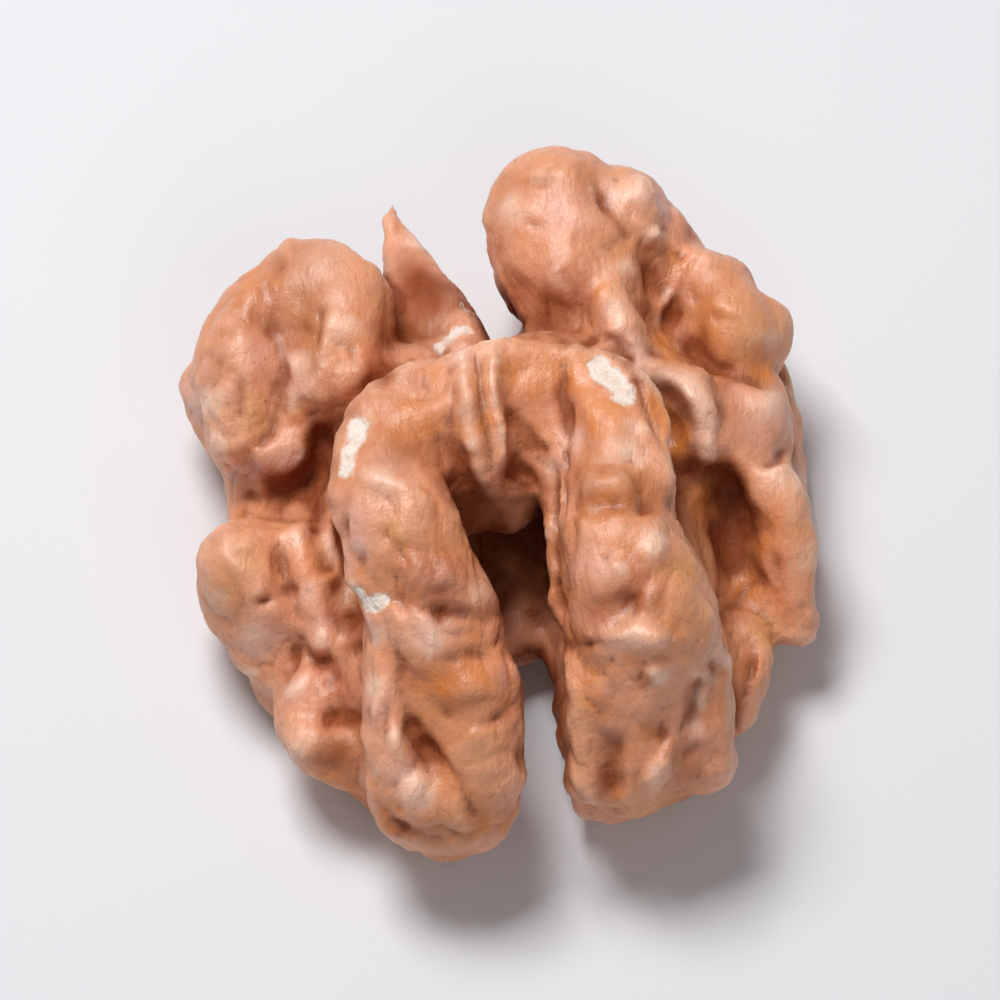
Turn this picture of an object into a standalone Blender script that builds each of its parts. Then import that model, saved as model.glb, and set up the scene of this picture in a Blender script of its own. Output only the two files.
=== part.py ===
"""Half of a walnut kernel, as it comes out of one side of the shell, lying on its inner face.

Blender 4.5, metres, +Z up. X runs across the two lobes, +Y from the blunt base to the end with the
germ point, and +Z from the inner face, which faced the papery partition, to the crown that faced the
shell. The origin is the middle of the footprint, on the surface that the kernel lies on.

The seed grew as one body, so it is one solid. Its folds are chains of beads, strung along smooth lines
and swollen into each other. A voxel skin melts them together, and grooves are then pressed into it.
"""

import math

import bmesh
import bpy
import numpy as np
from mathutils import Vector, noise

MM = 0.001

# Driving dimensions
VOXEL = 0.36 * MM
TRIANGLES = 11000
WANDER = 0.5
DRIFT_OFFSETS = (0.0, 31.4, 77.7)
SWELL = 0.28
KNUCKLE_LENGTH = 5.0
KNUCKLE_DEPTH = 0.1
SPOT_RADIUS = 2.4
SPOT_FLAT = 0.3
RIM_HEIGHT = 4.0
GROOVE_VIEW = math.radians(65)
GROOVE_FADE = 1.2
SKIN_COLOUR = (0.42, 0.2, 0.1, 1.0)
SKIN_ROUGHNESS = 0.45

# The folds are laid out at life size in millimetres: (x, y, z, radius) along each fold's middle line.
# x is 0 in the slot between the legs, y is 0 near the bridge, z is 0 at the inner face.
LEGS = {
    "arch_left": [(-0.6, 3.3, 11.4, 1.8), (-3.2, 2.2, 11.6, 2.0), (-5.5, 0.7, 11.5, 2.1)],
    "arch_right": [(-0.6, 3.3, 11.4, 1.8), (2.4, 3.0, 11.6, 2.0), (4.0, 1.4, 12.0, 2.3)],
    "left_thigh": [
        (-5.8, 0.7, 11.5, 2.0),
        (-5.3, -3.1, 11.7, 2.6),
        (-3.8, -6.4, 10.9, 2.8),
        (-2.6, -8.4, 9.6, 2.4),
    ],
    "left_outer_shin": [(-4.6, -8.1, 9.2, 2.0), (-4.5, -11.1, 8.0, 2.1), (-4.2, -13.9, 5.6, 2.3)],
    "left_inner_shin": [(-1.7, -10.0, 9.2, 2.2), (-1.6, -12.4, 7.4, 2.3), (-1.9, -14.0, 5.2, 2.3)],
    "right_thigh": [
        (4.0, 0.9, 12.0, 2.4),
        (4.3, -1.8, 12.0, 2.45),
        (5.3, -5.0, 11.7, 3.2),
        (5.9, -8.0, 10.6, 3.4),
    ],
    "right_inner_shin": [(4.2, -10.0, 9.4, 2.0), (4.1, -13.0, 6.6, 1.9)],
    "right_middle_shin": [(6.1, -10.5, 9.7, 2.1), (6.0, -12.7, 7.2, 2.1), (5.4, -13.2, 5.2, 2.0)],
    "right_outer_shin": [(7.9, -9.2, 8.4, 2.1), (8.0, -12.3, 6.2, 2.0)],
    "right_slot_edge": [(2.2, 2.4, 11.6, 1.0), (2.4, -2.9, 10.8, 1.1), (3.0, -6.9, 9.6, 1.2)],
}

LEFT_LOBE = {
    "inner_finger": [(-9.0, 10.4, 7.6, 2.5), (-7.8, 8.8, 8.2, 2.5), (-7.9, 5.8, 8.4, 2.2)],
    "outer_finger": [
        (-9.9, 10.5, 7.2, 2.5),
        (-11.2, 8.8, 7.0, 2.6),
        (-12.0, 6.2, 6.8, 2.6),
        (-11.9, 3.9, 6.4, 2.2),
    ],
    "flank": [(-10.0, 6.0, 7.2, 1.9), (-10.8, 2.8, 6.8, 1.6)],
    "swell": [(-12.9, 6.4, 4.6, 2.3), (-12.3, 4.2, 4.4, 1.9)],
    "middle": [(-11.8, -3.0, 6.0, 2.5), (-11.0, -4.8, 5.8, 2.1)],
    "middle_finger": [(-9.7, -2.2, 6.8, 1.3), (-9.1, -4.4, 6.6, 1.3), (-8.5, -6.2, 6.0, 1.1)],
    "middle_edge": [(-12.4, -2.6, 4.2, 1.9), (-11.2, -5.6, 4.6, 1.7)],
    "heel": [(-9.6, -7.4, 4.2, 1.7), (-8.7, -9.8, 4.5, 2.0), (-7.2, -11.3, 4.2, 2.1)],
}

RIGHT_LOBE = {
    "knob": [(2.1, 13.8, 8.2, 3.4), (2.7, 10.4, 8.8, 2.9)],
    "knob_shoulder": [(4.4, 13.5, 7.9, 2.9), (4.6, 10.4, 8.4, 2.3)],
    "second_knob": [(6.7, 13.2, 6.8, 2.1), (7.0, 11.4, 6.8, 1.9)],
    "upper_ridge": [(8.7, 10.4, 6.8, 2.3), (10.1, 8.4, 6.8, 2.5)],
    "plate": [(9.6, 6.4, 6.8, 1.8), (10.7, 5.2, 6.7, 1.9), (11.4, 3.6, 6.3, 1.7)],
    "plate_edge": [
        (9.3, 4.1, 7.2, 1.2),
        (9.8, 2.9, 7.2, 1.2),
        (10.8, 2.2, 7.0, 1.3),
        (11.9, 1.2, 6.6, 1.4),
        (12.5, -0.5, 6.0, 1.4),
        (12.7, -2.4, 5.0, 1.2),
        (13.0, -4.6, 3.7, 1.0),
    ],
    "finger_root": [(11.9, 0.5, 4.2, 1.6), (12.1, -3.2, 2.9, 1.5)],
    "ribbon": [
        (4.6, 9.4, 9.6, 1.3),
        (5.2, 6.9, 9.5, 1.3),
        (6.6, 5.5, 9.1, 1.2),
        (7.8, 4.7, 8.8, 1.2),
        (8.6, 3.5, 8.4, 1.2),
        (8.7, 1.9, 7.9, 1.0),
    ],
    "valley_floor": [(6.4, 5.0, 7.3, 1.3), (6.9, 4.2, 7.1, 1.4), (7.6, 3.0, 6.7, 1.2)],
    "furrow_floor": [(9.4, 0.6, 3.3, 1.5), (10.0, -1.6, 3.0, 1.5), (10.6, -3.6, 3.0, 1.4)],
    "ridge_foot": [(7.4, 8.2, 6.9, 1.5), (8.4, 6.6, 6.8, 1.6)],
    "heel": [(10.6, -5.4, 4.0, 1.4), (11.1, -7.0, 3.9, 1.4), (10.3, -8.6, 3.4, 1.5)],
}

# The body under the crown, the rims of the inner face and the bridge that joins the two lobes.
BODY = {
    "left_core": [
        (-4.5, 5.2, 6.6, 2.6),
        (-6.4, 2.5, 5.0, 2.6),
        (-6.6, -3.0, 4.6, 2.4),
        (-5.6, -9.0, 5.0, 2.6),
    ],
    "left_root": [(-4.6, -0.5, 8.6, 2.1), (-4.2, -5.0, 8.0, 2.2), (-3.4, -11.0, 6.0, 2.6)],
    "left_outer_core": [(-9.4, 8.0, 5.8, 2.8), (-10.8, 2.0, 3.8, 2.3), (-9.8, -4.0, 4.2, 2.3)],
    "right_core": [
        (3.6, 8.0, 7.0, 3.0),
        (6.2, 5.0, 6.4, 2.8),
        (7.0, 0.0, 4.6, 2.6),
        (7.2, -7.0, 5.0, 2.7),
    ],
    "right_root": [(4.2, 0.5, 8.6, 2.3), (5.0, -5.0, 8.2, 2.6), (5.6, -10.6, 6.2, 2.8)],
    "right_outer_core": [
        (6.6, 10.6, 5.4, 2.8),
        (9.4, 5.6, 5.0, 2.4),
        (9.8, 0.4, 2.8, 1.8),
        (9.2, -6.0, 3.4, 1.9),
    ],
    "bridge": [(-0.6, 3.6, 9.0, 2.4), (-0.6, 3.4, 6.6, 2.8), (-0.4, 2.6, 4.4, 2.4)],
    "web": [(-0.4, 2.0, 3.8, 2.0), (0.2, -1.4, 3.0, 1.6), (0.7, -4.6, 2.3, 1.4)],
    "arch_slope_left": [(-2.4, 2.4, 11.8, 1.7), (-2.9, 0.5, 10.9, 1.7), (-2.3, -0.9, 9.2, 1.5)],
    "arch_slope_right": [(0.8, 2.6, 11.8, 1.7), (0.6, 0.6, 10.5, 1.7), (0.0, -0.7, 8.8, 1.5)],
    "arch_back": [
        (-4.6, 2.4, 9.0, 2.2),
        (-2.6, 3.8, 9.4, 2.2),
        (0.0, 4.6, 9.4, 2.2),
        (2.6, 4.6, 9.4, 2.3),
        (4.4, 3.4, 9.0, 2.2),
    ],
    "left_trough": [
        (-3.4, 3.0, 6.0, 2.0),
        (-3.6, -2.0, 5.8, 2.0),
        (-3.4, -6.0, 5.6, 2.0),
        (-3.4, -10.5, 5.0, 2.0),
    ],
    "right_trough": [
        (3.4, 4.0, 6.0, 2.2),
        (4.0, -2.0, 5.8, 2.0),
        (4.6, -6.0, 5.6, 2.0),
        (4.8, -10.0, 5.0, 2.0),
    ],
    "left_rim": [
        (-8.8, 9.6, 4.0, 2.8),
        (-11.4, 5.6, 3.0, 2.4),
        (-10.8, 1.0, 2.7, 2.1),
        (-11.2, -3.4, 2.5, 2.1),
        (-8.5, -8.2, 2.3, 2.1),
        (-5.4, -11.2, 2.4, 2.2),
        (-2.8, -13.3, 2.9, 2.3),
    ],
    "left_inner_rim": [
        (-2.2, -12.0, 3.4, 2.0),
        (-1.5, -7.5, 2.8, 1.6),
        (-1.8, -2.5, 3.0, 1.6),
        (-2.0, 2.4, 4.0, 2.0),
    ],
    "right_rim": [
        (2.4, 12.8, 4.6, 3.2),
        (6.6, 12.0, 3.6, 2.5),
        (9.8, 8.4, 3.0, 2.4),
        (11.2, 3.6, 2.7, 2.3),
        (11.6, -1.6, 2.5, 1.9),
        (9.5, -6.2, 2.6, 2.0),
        (7.5, -10.2, 2.5, 2.1),
        (5.0, -12.0, 2.8, 2.2),
    ],
    "right_inner_rim": [
        (4.4, -11.3, 3.4, 1.9),
        (3.5, -7.0, 2.8, 1.6),
        (3.0, -2.0, 3.0, 1.6),
        (1.6, 3.0, 4.2, 2.0),
        (1.6, 8.0, 4.6, 2.3),
    ],
    "germ_seat": [(-2.2, 5.4, 5.2, 2.2), (-5.6, 7.6, 5.0, 2.3)],
}

GERM = {
    "outer_edge": [(-5.5, 16.2, 4.0, 0.4), (-5.3, 12.5, 5.0, 0.8), (-4.8, 9.0, 5.6, 1.1)],
    "middle": [(-4.4, 12.0, 4.9, 0.8), (-3.4, 8.0, 5.6, 1.3)],
    "inner_edge": [
        (-5.4, 15.8, 4.0, 0.4),
        (-4.0, 13.0, 4.7, 0.8),
        (-2.6, 10.0, 5.4, 1.2),
        (-1.6, 7.2, 6.0, 1.4),
    ],
}

LIPS = {
    "left_shoulder": [
        (-2.4, 3.8, 12.8, 0.8),
        (-5.0, 3.0, 12.7, 0.8),
        (-7.0, 1.2, 12.5, 0.9),
        (-7.4, -3.0, 11.8, 0.8),
        (-6.3, -5.8, 11.4, 0.8),
    ],
    "right_shoulder": [
        (-1.2, 4.5, 13.1, 0.7),
        (3.3, 4.0, 13.1, 0.8),
        (5.6, 2.4, 13.2, 0.9),
        (7.0, -1.6, 13.0, 0.9),
    ],
    "midrib_left": [
        (-2.0, 3.7, 13.6, 0.6),
        (-1.9, 1.4, 13.4, 0.6),
        (-1.7, -0.3, 12.5, 0.6),
        (-1.3, -1.4, 11.0, 0.6),
    ],
    "midrib_right": [
        (-0.7, 3.9, 13.6, 0.5),
        (-0.6, 1.5, 13.3, 0.5),
        (-0.7, -0.3, 12.3, 0.5),
        (-0.9, -1.4, 11.0, 0.5),
    ],
}

# Grooves pressed into the crown: (half width, depth) and the line, in millimetres, as it is seen from
# GROOVE_VIEW above the horizon at the base's side. A negative depth raises a ridge instead.
GROOVES = {
    "left_leg_cross": (0.7, 0.55, [(-6.3, -0.6), (-4.9, -1.3), (-3.5, -1.7), (-2.5, -2.4), (-0.3, -3.3)]),
    "left_leg_split": (0.5, 0.7, [(-4.9, -6.0), (-4.3, -7.5), (-3.1, -10.0)]),
    "left_leg_side": (0.5, 0.4, [(-5.6, -3.8), (-4.7, -5.4), (-4.6, -6.6)]),
    "left_leg_dish": (1.3, 0.55, [(-5.8, 6.0), (-4.6, 5.2)]),
    "left_leg_ridge": (0.5, -0.3, [(-7.3, 4.3), (-5.5, 3.9), (-4.0, 3.2), (-3.2, 2.4)]),
    "left_lip_inside": (0.4, 0.4, [(-7.4, 2.4), (-7.0, 1.0), (-6.6, 0.0)]),
    "left_foot": (0.4, 0.4, [(-6.2, -10.4), (-5.3, -11.6), (-3.6, -12.2)]),
    "left_foot_split": (0.4, 0.4, [(-2.2, -10.2), (-1.2, -11.8)]),
    "left_slot_nick": (0.35, 0.4, [(0.1, -7.2), (0.8, -8.6)]),
    "left_knuckle": (0.9, -0.3, [(-3.1, -5.0), (-0.9, -5.2)]),
    "left_knuckle_foot": (0.5, 0.25, [(-3.6, -6.3), (-2.0, -6.5), (0.4, -6.2)]),
    "right_leg_strip": (0.4, 0.55, [(2.4, 8.6), (2.5, 6.0), (2.4, 2.5), (2.0, -3.2)]),
    "right_leg_cross_high": (0.6, 0.45, [(2.6, 3.2), (4.2, 3.0), (7.4, 3.2)]),
    "right_leg_cross_low": (0.8, 0.3, [(2.2, -1.9), (4.5, -2.0), (6.8, -1.9)]),
    "right_leg_ridge": (0.5, -0.2, [(3.4, -3.2), (7.6, -3.1)]),
    "right_shin_inner": (0.5, 0.55, [(4.4, -7.0), (4.3, -9.5), (4.4, -11.6)]),
    "right_shin_short": (0.35, 0.3, [(6.0, -4.3), (5.5, -5.6)]),
    "right_shin_outer": (0.45, 0.4, [(7.2, -5.0), (6.8, -7.0), (6.0, -9.4)]),
    "right_shin_edge": (0.5, 0.4, [(8.6, -3.6), (8.8, -5.8), (8.2, -8.0)]),
    "right_foot_dish": (0.9, 0.3, [(8.1, -8.8), (7.9, -9.6)]),
    "left_lobe_split": (
        0.8,
        0.4,
        [(-11.4, 12.8), (-11.3, 10.5), (-10.7, 8.2), (-10.9, 6.4), (-12.0, 5.0)],
    ),
    "left_lobe_short": (0.5, 0.3, [(-9.6, 12.4), (-9.4, 10.5), (-9.9, 8.4)]),
    "left_lobe_right": (0.5, 0.3, [(-7.4, 11.8), (-7.8, 9.6), (-8.6, 7.6)]),
    "left_lobe_foot": (0.6, 0.7, [(-13.8, 2.5), (-12.4, 2.6), (-10.2, 3.2), (-9.2, 4.2)]),
    "middle_finger": (0.5, 0.5, [(-10.4, 1.8), (-9.9, -1.0), (-9.3, -3.0)]),
    "middle_foot": (0.6, 0.4, [(-12.4, -3.0), (-11.0, -2.8), (-9.8, -3.6)]),
    "heel_crease": (0.6, 0.45, [(-10.6, -6.2), (-9.0, -6.9), (-6.8, -6.3)]),
    "knob_split": (0.6, 0.3, [(4.4, 17.4), (5.2, 16.2), (5.6, 14.9), (6.3, 13.8), (6.7, 11.6)]),
    "knob_fork": (0.35, 0.35, [(7.0, 13.4), (7.4, 11.0)]),
    "knob_foot": (0.8, 0.35, [(-0.6, 12.2), (1.0, 11.8), (3.0, 12.0)]),
    "ridge_crease_high": (0.6, 0.5, [(7.8, 10.8), (8.8, 9.5), (10.0, 8.9), (11.2, 8.8), (12.6, 8.8)]),
    "ridge_crease_low": (0.5, 0.3, [(13.4, 5.4), (12.2, 5.2), (11.2, 5.4)]),
}


# Where the rims of the inner face touch the surface that the kernel lies on: (x, y), laid out as the folds
REST_SPOTS = [(-8.6, -8.0), (7.6, -9.8), (10.9, 5.2), (-10.6, 5.0)]


def spline(points, t):
    """The point and radius at t, counted in spans, on a Catmull-Rom line through the fold's points."""
    span = min(int(t), len(points) - 2)
    t -= span
    a, b, c, d = (points[max(0, min(len(points) - 1, span + k))] for k in (-1, 0, 1, 2))
    return 0.5 * (2 * b + (c - a) * t + (2 * a - 5 * b + 4 * c - d) * t**2 + (3 * b - a - 3 * c + d) * t**3)


def beads_of(points, phase):
    """Centres and radii of close beads along a fold. They swell and pinch like a row of knuckles."""
    points = [np.array(p) for p in points]
    beads, along = [points[0]], 0.0
    for span in range(len(points) - 1):
        a, b = points[span], points[span + 1]
        count = max(1, math.ceil(np.linalg.norm((b - a)[:3]) / (0.25 * min(a[3], b[3]))))
        beads += [spline(points, span + k / count) for k in range(1, count + 1)]
    for last, bead in zip(beads, beads[1:]):
        along += np.linalg.norm((bead - last)[:3])
        turn = along / KNUCKLE_LENGTH + 0.6 * noise.noise(Vector((along * 0.3, phase, 0.0))) + phase
        bead[3] *= 1 + KNUCKLE_DEPTH * min(1, 1.6 / bead[3] + 0.3) * (abs(math.sin(math.pi * turn)) - 0.64)
    return beads


def bead_mesh(folds):
    """One mesh of every bead of every fold."""
    bm = bmesh.new()
    bmesh.ops.create_icosphere(bm, subdivisions=3, radius=1)
    ball = np.array([v.co for v in bm.verts])
    sides = np.array([[v.index for v in f.verts] for f in bm.faces])
    bm.free()
    beads = np.array([bead for k, points in enumerate(folds) for bead in beads_of(points, 0.37 * k)])
    points = (beads[:, None, :3] + ball * beads[:, None, 3:]).reshape(-1, 3) * MM
    faces = (sides + len(ball) * np.arange(len(beads))[:, None, None]).reshape(-1, 3)
    mesh = bpy.data.meshes.new("beads")
    mesh.from_pydata(points.tolist(), [], faces.tolist())
    return mesh


def with_modifiers(obj):
    """Applies the object's modifiers to its mesh."""
    bpy.context.view_layer.update()
    graph = bpy.context.evaluated_depsgraph_get()
    mesh = bpy.data.meshes.new_from_object(obj.evaluated_get(graph))
    obj.modifiers.clear()
    obj.data = mesh


def add_smooth(obj, iterations):
    smooth = obj.modifiers.new("smooth", "SMOOTH")
    smooth.factor = 0.5
    smooth.iterations = iterations


def drift(point):
    """A smooth wandering vector at a point. Blender's own noise_vector differs from one run to the next."""
    return Vector([noise.noise(point + Vector((0, 0, offset))) for offset in DRIFT_OFFSETS])


def groove_depth(seen, half_width, full_depth, line):
    """The depth of one groove under each point in the groove view. It fades out towards the line's ends."""
    line = np.array(line)
    lengths = np.linalg.norm(np.diff(line, axis=0), axis=1)
    starts = np.cumsum(lengths) - lengths
    gap = np.full(len(seen), np.inf)
    along = np.zeros(len(seen))
    for a, b, length, start in zip(line, line[1:], lengths, starts):
        share = np.clip((seen - a) @ (b - a) / length**2, 0, 1)
        here = np.linalg.norm(seen - a - share[:, None] * (b - a), axis=1)
        along = np.where(here < gap, start + share * length, along)
        gap = np.minimum(gap, here)
    fade = np.clip(np.minimum(along, lengths.sum() - along) / GROOVE_FADE, 0.25, 1)
    return full_depth * fade * np.exp(-((gap / half_width) ** 2))


def press_grooves(mesh):
    """Moves the points that face the groove view along their normals, under every groove and ridge."""
    points = np.array([v.co for v in mesh.vertices]) / MM
    normals = np.array([v.normal for v in mesh.vertices])
    towards = np.array((0.0, -math.cos(GROOVE_VIEW), math.sin(GROOVE_VIEW)))
    facing = np.clip((normals @ towards - 0.1) / 0.3, 0, 1)
    seen = np.stack((points[:, 0], points[:, 1] * towards[2] - points[:, 2] * towards[1]), axis=1)
    depth = sum(groove_depth(seen, *groove) for groove in GROOVES.values()) * facing
    for vertex, point in zip(mesh.vertices, points - normals * depth[:, None]):
        vertex.co = point * MM


def grow(mesh):
    """Lets the folds wander and swell, as the seed did in its shell."""
    normals = [v.normal.copy() for v in mesh.vertices]
    for vertex, normal in zip(mesh.vertices, normals):
        point = vertex.co / MM
        swell = SWELL * noise.noise(point * 0.45) + 0.5 * SWELL * noise.noise(point * 1.1)
        wander = WANDER * drift(point * 0.16) + 0.4 * WANDER * drift(point * 0.4)
        vertex.co = (point + normal * swell + wander) * MM
    mesh.update()


def settle(mesh):
    """Brings the rest spots down to one flat level, and puts the origin on it under the kernel's middle."""
    points = np.array([v.co for v in mesh.vertices]) / MM
    lowest = points[:, 2].min()
    for spot in REST_SPOTS:
        gap = np.linalg.norm(points[:, :2] - spot, axis=1)
        drop = points[gap < SPOT_RADIUS / 2, 2].min() - lowest
        near_floor = np.clip(1 - (points[:, 2] - lowest - drop) / RIM_HEIGHT, 0, 1)
        points[:, 2] -= drop * np.exp(-((gap / SPOT_RADIUS) ** 2)) * near_floor
    floor = points[:, 2].min() + SPOT_FLAT
    points[:, 2] = np.maximum(points[:, 2], floor)
    middle = (points.min(axis=0) + points.max(axis=0)) / 2
    middle[2] = floor
    for vertex, point in zip(mesh.vertices, points - middle):
        vertex.co = point * MM


def main():
    for obj in list(bpy.data.objects):
        bpy.data.objects.remove(obj)
    groups = (LEGS, LEFT_LOBE, RIGHT_LOBE, BODY, GERM, LIPS)
    folds = [points for group in groups for points in group.values()]
    kernel = bpy.data.objects.new("kernel", bead_mesh(folds))
    bpy.context.scene.collection.objects.link(kernel)

    skin = kernel.modifiers.new("skin", "REMESH")
    skin.mode = "VOXEL"
    skin.voxel_size = VOXEL
    add_smooth(kernel, 4)
    with_modifiers(kernel)
    grow(kernel.data)
    press_grooves(kernel.data)
    add_smooth(kernel, 4)
    thin = kernel.modifiers.new("thin", "DECIMATE")
    thin.ratio = TRIANGLES / sum(len(polygon.vertices) - 2 for polygon in kernel.data.polygons)
    with_modifiers(kernel)
    settle(kernel.data)

    skin_material = bpy.data.materials.new("kernel_skin")
    skin_material.use_nodes = True
    shader = skin_material.node_tree.nodes["Principled BSDF"]
    shader.inputs["Base Color"].default_value = SKIN_COLOUR
    shader.inputs["Roughness"].default_value = SKIN_ROUGHNESS
    kernel.data.materials.append(skin_material)
    return kernel


kernel = main()
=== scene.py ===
"""The looks of the walnut kernel.

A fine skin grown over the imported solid, its colours, the floor, the light and the camera.
"""

import math

import bpy
import numpy as np
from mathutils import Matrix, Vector, noise
from mathutils.bvhtree import BVHTree


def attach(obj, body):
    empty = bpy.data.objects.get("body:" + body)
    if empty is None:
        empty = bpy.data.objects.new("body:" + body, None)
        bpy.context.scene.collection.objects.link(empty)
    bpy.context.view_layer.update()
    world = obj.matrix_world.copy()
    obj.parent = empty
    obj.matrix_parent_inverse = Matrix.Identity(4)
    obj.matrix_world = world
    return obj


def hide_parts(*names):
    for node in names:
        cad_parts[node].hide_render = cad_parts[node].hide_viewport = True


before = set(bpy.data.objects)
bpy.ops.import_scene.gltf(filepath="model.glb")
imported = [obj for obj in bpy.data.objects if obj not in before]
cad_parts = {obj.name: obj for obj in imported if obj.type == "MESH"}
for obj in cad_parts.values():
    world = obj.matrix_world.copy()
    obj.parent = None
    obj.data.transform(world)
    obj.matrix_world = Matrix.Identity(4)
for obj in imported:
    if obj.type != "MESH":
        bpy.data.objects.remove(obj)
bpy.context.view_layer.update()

MM = 0.001

# The skin's mesh
SKIN_VOXEL = 0.205 * MM
SKIN_SMOOTHING = 6

# How creases fade out at their ends and wander off their lines, and how deep a crease is where its painted
# shade is darkest, in millimetres
CREASE_FADE = 0.9
CREASE_WARP = 0.16
DARKEST_CREASE = 0.3

# Relief that covers the whole skin: sizes in millimetres, and the noise's scale along x, y and z
WRINKLE_DEPTH = 0.08
WRINKLE_SCALE = (1.5, 0.45, 0.9)
FINE_WRINKLE_DEPTH = 0.018
FINE_WRINKLE_SCALE = (2.6, 1.1, 2.0)
SWELL_HEIGHT = 0.1
SWELL_SCALE = (0.5, 0.35, 0.5)
RELIEF_WARP = 0.8

# How much of that relief the smooth places lose
CALM_SHARE = 0.8

# Relief that only the material shows, in millimetres
GRAIN_DEPTH = 0.05
FINE_GRAIN_DEPTH = 0.02
VEIN_DEPTH = 0.06
RUCK_DEPTH = 0.06
CRUMB_DEPTH = 0.14
CHIP_DEPTH = 0.12

# Rounds of evening out that folds and crests are measured against, and how hollows are felt for
FOLD_ROUNDS = 12
CREST_ROUNDS = 120
HOLLOW_ROUNDS = 8
HOLLOW_REACH = 7.0
RAYS_EACH = 14
RAY_COUNT = 64

# The picture: its middle in the view and its width, in millimetres
PICTURE_MIDDLE = (-0.5, 3.0)
PICTURE_WIDTH = 46.0
LENS = 400.0

# The view that the creases, stains, painted shade and painted highlights are placed in: how high it looks
# down from, and where its zero lies on the part, in millimetres: the slot's middle, under the arch.
VIEW_HEIGHT = math.radians(65)
TOWARDS_VIEW = np.array((0.0, -math.cos(VIEW_HEIGHT), math.sin(VIEW_HEIGHT)))
UP_IN_VIEW = np.array((0.0, math.sin(VIEW_HEIGHT), math.cos(VIEW_HEIGHT)))
VIEW_ZERO = np.array((0.54, -0.14, -0.27))

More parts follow.
